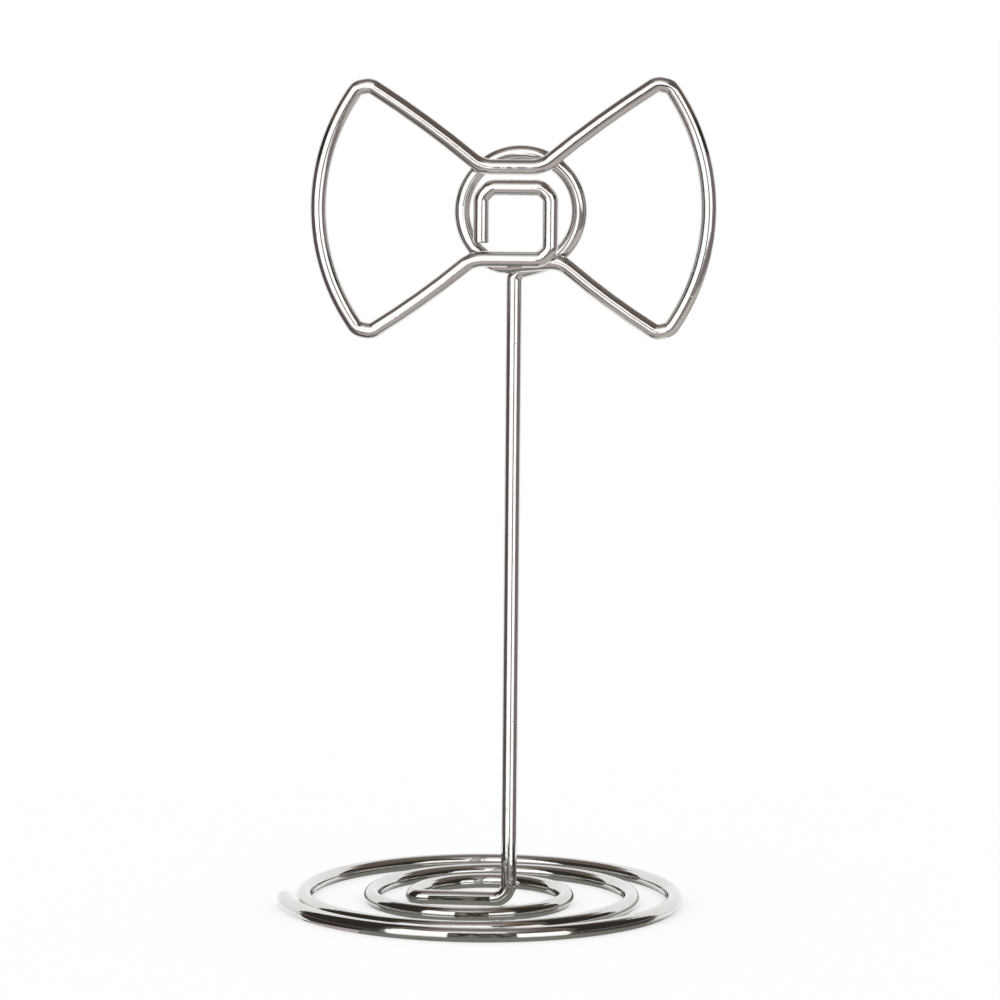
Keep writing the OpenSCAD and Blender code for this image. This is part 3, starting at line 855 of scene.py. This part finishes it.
def plate_card(name, material, corner, along, up):
    """Flat surface of the studio, which only reflections show, from a corner and its two sides."""
    bm = bmesh.new()
    edge = [bm.verts.new(corner), bm.verts.new(Vector(corner) + Vector(along))]
    line = bm.edges.new(edge)
    raised = bmesh.ops.extrude_edge_only(bm, edges=[line])["geom"]
    bmesh.ops.translate(bm, verts=[v for v in raised if isinstance(v, bmesh.types.BMVert)], vec=up)
    stage_object(name, bm, material, hidden=True)


def seen_directly(tree):
    """Share that is 1 for what the camera sees, also in metal and through glass."""
    path = add(tree, "ShaderNodeLightPath").outputs
    seen = path["Is Camera Ray"]
    for other in ("Is Glossy Ray", "Is Transmission Ray"):
        seen = add(tree, "ShaderNodeMath", {0: seen, 1: path[other]}, operation="MAXIMUM").outputs[0]
    return seen


def stage_object(name, bm, material, hidden=False):
    """Object of the stage. A hidden one shows only in reflections."""
    mesh = bpy.data.meshes.new(name)
    bm.to_mesh(mesh)
    bm.free()
    mesh.materials.append(material)
    made = bpy.data.objects.new(name, mesh)
    bpy.context.scene.collection.objects.link(made)
    if hidden:
        made.visible_camera = False
        made.visible_diffuse = False
        made.visible_shadow = False
        made.visible_transmission = False


class CARDHOLDER_OT_stage(bpy.types.Operator):
    """Lays the floor, lights it and places the camera"""

    bl_idname = "card_holder.stage"
    bl_label = "Stage"

    def execute(self, context):
        self.lay_floor()
        self.light()
        self.hang_cards()
        self.place_camera(context.scene)
        context.scene.view_settings.view_transform = "Standard"
        return {"FINISHED"}

    def lay_floor(self):
        """White table top, which keeps the shadow of the object."""
        material, tree = new_material("White laminate table")
        # Sealed laminate, white all over, with a very faint mottle about 40 mm across
        where = add(tree, "ShaderNodeTexCoord").outputs["Object"]
        mottle = add(tree, "ShaderNodeTexNoise", {"Vector": where, "Scale": 1 / (40 * MM), "Detail": 2.0})
        white = look().floor
        tone = add(
            tree, "ShaderNodeValToRGB", {"Fac": mottle.outputs["Fac"]},
            stops=[(0.0, [0.995 * c for c in white]), (1.0, white)])
        lit = add(tree, "ShaderNodeBsdfDiffuse", {"Color": tone.outputs["Color"]})
        bright = add(tree, "ShaderNodeEmission", {"Color": tone.outputs["Color"], "Strength": 1.0})
        share = add(tree, "ShaderNodeMath", {0: seen_directly(tree), 1: FLOOR_GLOW}, operation="MULTIPLY")
        shader = add(tree, "ShaderNodeMixShader", {
            0: share.outputs[0], 1: lit.outputs[0], 2: bright.outputs[0]})
        add(tree, "ShaderNodeOutputMaterial", {"Surface": shader.outputs[0]})
        bm = bmesh.new()
        bmesh.ops.create_circle(bm, cap_ends=True, radius=FLOOR_R, segments=64)
        stage_object("floor", bm, material)

    def light(self):
        """Soft white light from all round."""
        world = bpy.data.worlds.new("Soft white studio")
        bpy.context.scene.world = world
        world.use_nodes = True
        tree = world.node_tree
        tree.nodes.clear()
        fill = add(tree, "ShaderNodeBackground", {"Color": (1, 1, 1, 1), "Strength": look().fill_strength})
        white = add(tree, "ShaderNodeBackground", {"Color": (1, 1, 1, 1), "Strength": 1.0})
        mix = add(tree, "ShaderNodeMixShader", {
            0: seen_directly(tree), 1: fill.outputs[0], 2: white.outputs[0]})
        add(tree, "ShaderNodeOutputWorld", {"Surface": mix.outputs[0]})

    def hang_cards(self):
        """Surfaces of the studio that the bright wire reflects."""
        k = look()
        cloth = glow("Softbox cloth", k.front_light, k.front_strength)
        # Painted shade of the white table round the base, on grey cards that only reflections show
        near = glow("Polished table near the base", k.table_near, polish=(0.43, 0.79))
        beside = {
            "left": glow("Polished table left of the base", k.table_left, polish=(0.4, 0.48)),
            "right": glow("Polished table right of the base", k.table_right, polish=(0.55, 0.66)),
        }
        front = {
            "left": glow("Polished table front left", k.table_front, polish=(0.6, 0.72)),
            "right": glow("Polished table front right", k.table_front, polish=(0.68, 0.79)),
        }
        sides = {
            "left": glow("Dim studio side left", k.side_left),
            "right": glow("Dim studio side right", k.side_right),
        }
        wall = glow("Dark studio wall", k.wall)
        pale = glow("Polished pale brim over the table", k.brim, polish=(0.6, 0.75))
        high_wall = glow("Upper studio wall", k.high_wall)
        shade = {
            "left": glow("Polished table in shade left", k.shade_left, polish=(0.6, 0.72)),
            "right": glow("Polished table in shade right", k.shade_right, polish=(0.82, 0.845)),
        }
        # Upright surfaces: material, lowest and highest edge, start and extent in degrees
        for name, material, low, high, start, through in (
            ("softbox_left", cloth, 0, TOP, -54, 72),
            ("softbox_right", cloth, 0, SOFTBOX_TOP, 18, 34),
            ("softbox_hood", high_wall, SOFTBOX_TOP, TOP, 18, 34),
            ("skirting_left", sides["left"], 0, SKIRTING_TOP, *LEFT),
            ("skirting_right", sides["right"], 0, SKIRTING_TOP, *RIGHT),
            ("wall_left", wall, SKIRTING_TOP, WALL_TOP, *LEFT),
            ("wall_right", wall, SKIRTING_TOP, WALL_TOP, *RIGHT),
            ("high_wall_left", high_wall, WALL_TOP, TOP, *LEFT),
            ("high_wall_right", high_wall, WALL_TOP, TOP, *RIGHT),
        ):
            studio_card(name, material, [(REACH, low), (REACH, high)], start, through)
        # Level surfaces: material, height, inner and outer radius, start and extent in degrees
        for name, material, height, inner, outer, start, through in (
            ("table_inside", near, SKIN, 0, BASE_EDGE, 0, 360),
            ("table_near", near, SKIN, BASE_EDGE, NEAR_EDGE, -39, 99),
            ("table_beside_left", beside["left"], SKIN, BASE_EDGE, NEAR_EDGE, -100, 61),
            ("table_beside_right", beside["right"], SKIN, BASE_EDGE, NEAR_EDGE, 60, 40),
            ("table_front_left", front["left"], SKIN, NEAR_EDGE, REACH, -54, 56),
            ("table_front_right", front["right"], SKIN, NEAR_EDGE, REACH, 2, 50),
            ("table_shade_left", shade["left"], 2 * SKIN, 0.075, 0.125, -54, 40),
            ("table_shade_right", shade["right"], 2 * SKIN, 0.18, REACH, 8, 44),
            ("table_left", sides["left"], SKIN, NEAR_EDGE, REACH, *LEFT),
            ("table_right", sides["right"], SKIN, NEAR_EDGE, REACH, *RIGHT),
            # The brims' undersides glow in the dark wall grey, painted shade under them; their tops are paler
            ("brim_under_left", wall, BRIM_Z, BRIM_INNER, BRIM_OUTER, *BRIM_LEFT),
            ("brim_under_right", wall, BRIM_Z, BRIM_INNER, BRIM_OUTER, *RIGHT),
            ("brim_left", sides["left"], BRIM_Z + SKIN, BRIM_INNER, BRIM_EDGE, *BRIM_LEFT),
            ("brim_right", pale, BRIM_Z + SKIN, BRIM_INNER, BRIM_EDGE, *RIGHT),
            ("brim_rim_left", sides["left"], BRIM_Z + SKIN, BRIM_EDGE, BRIM_OUTER, *BRIM_LEFT),
            ("brim_rim_right", sides["right"], BRIM_Z + SKIN, BRIM_EDGE, BRIM_OUTER, *RIGHT),
        ):
            narrow = NARROW[name.split("_")[-1]] if name.startswith("brim") else None
            studio_card(name, material, [(inner, height), (outer, height)], start, through, narrow)
        depth = REACH + BACK
        plate_card("ceiling", ceiling_painted_light(k), (-REACH, -REACH, TOP), (2 * REACH, 0, 0), (0, depth, 0))
        # Camera in front of the softbox
        plate_card("camera", glow("Camera body", k.camera), (0.03, -0.85, 0), (0.2, 0, 0), (0, 0, 0.17))
        # Little black flags close to the base: left and right end, depth and height in mm
        black = creased_flag(k)
        for name, left, right, y, high in (
            ("flag_outer", -5.1, 3.6, -22.5, 3.0),
            ("flag_inner", -4.1, 0.4, -11.6, 2.8),
            ("flag_bar", -7.0, -0.5, -3.6, 2.8),
        ):
            plate_card(name, black, (left * MM, y * MM, SKIN), ((right - left) * MM, 0, 0), (0, 0, high * MM))

    def place_camera(self, scene):
        """Camera before the bow, a little above it and tilted down."""
        data = bpy.data.cameras.new("camera")
        data.sensor_width = SENSOR_MM
        data.lens = LENS_MM
        data.clip_start, data.clip_end = 0.01, 20
        camera = bpy.data.objects.new("camera", data)
        scene.collection.objects.link(camera)
        tilt = Matrix.Rotation(math.pi / 2 - CAMERA_DOWN, 4, "X")
        roll = Matrix.Rotation(CAMERA_ROLL, 4, "Z")
        camera.matrix_world = Matrix.Translation(CAMERA_AT) @ tilt @ roll
        scene.camera = camera


class VIEW3D_PT_card_holder(bpy.types.Panel):
    """Place card holder, piece by piece"""

    bl_label = "Card Holder"
    bl_space_type = "VIEW_3D"
    bl_region_type = "UI"
    bl_category = "Card Holder"

    def draw(self, context):
        for operator in OPERATORS:
            self.layout.operator(operator.bl_idname)
        for group in (context.scene.card_holder_sizes, context.scene.card_holder_look):
            column = self.layout.column(align=True)
            for key in group.__annotations__:
                column.prop(group, key)


OPERATORS = (
    CARDHOLDER_OT_base,
    CARDHOLDER_OT_foot,
    CARDHOLDER_OT_stem,
    CARDHOLDER_OT_ring,
    CARDHOLDER_OT_right_wing,
    CARDHOLDER_OT_left_wing,
    CARDHOLDER_OT_knot,
    CARDHOLDER_OT_stage,
)
CLASSES = (CardHolderSizes, CardHolderLook, *OPERATORS, VIEW3D_PT_card_holder)


def register():
    """Adds the classes, and both groups of properties to the scene."""
    for cls in CLASSES:
        bpy.utils.register_class(cls)
    bpy.types.Scene.card_holder_sizes = PointerProperty(type=CardHolderSizes)
    bpy.types.Scene.card_holder_look = PointerProperty(type=CardHolderLook)


def unregister():
    """Takes them out again."""
    del bpy.types.Scene.card_holder_look
    del bpy.types.Scene.card_holder_sizes
    for cls in reversed(CLASSES):
        bpy.utils.unregister_class(cls)


def main():
    """Makes every piece and the stage in order."""
    register()
    bpy.ops.card_holder.base()
    bpy.ops.card_holder.foot()
    bpy.ops.card_holder.stem()
    bpy.ops.card_holder.ring()
    bpy.ops.card_holder.right_wing()
    bpy.ops.card_holder.left_wing()
    bpy.ops.card_holder.knot()
    bpy.ops.card_holder.stage()


if __name__ == "__main__":
    main()
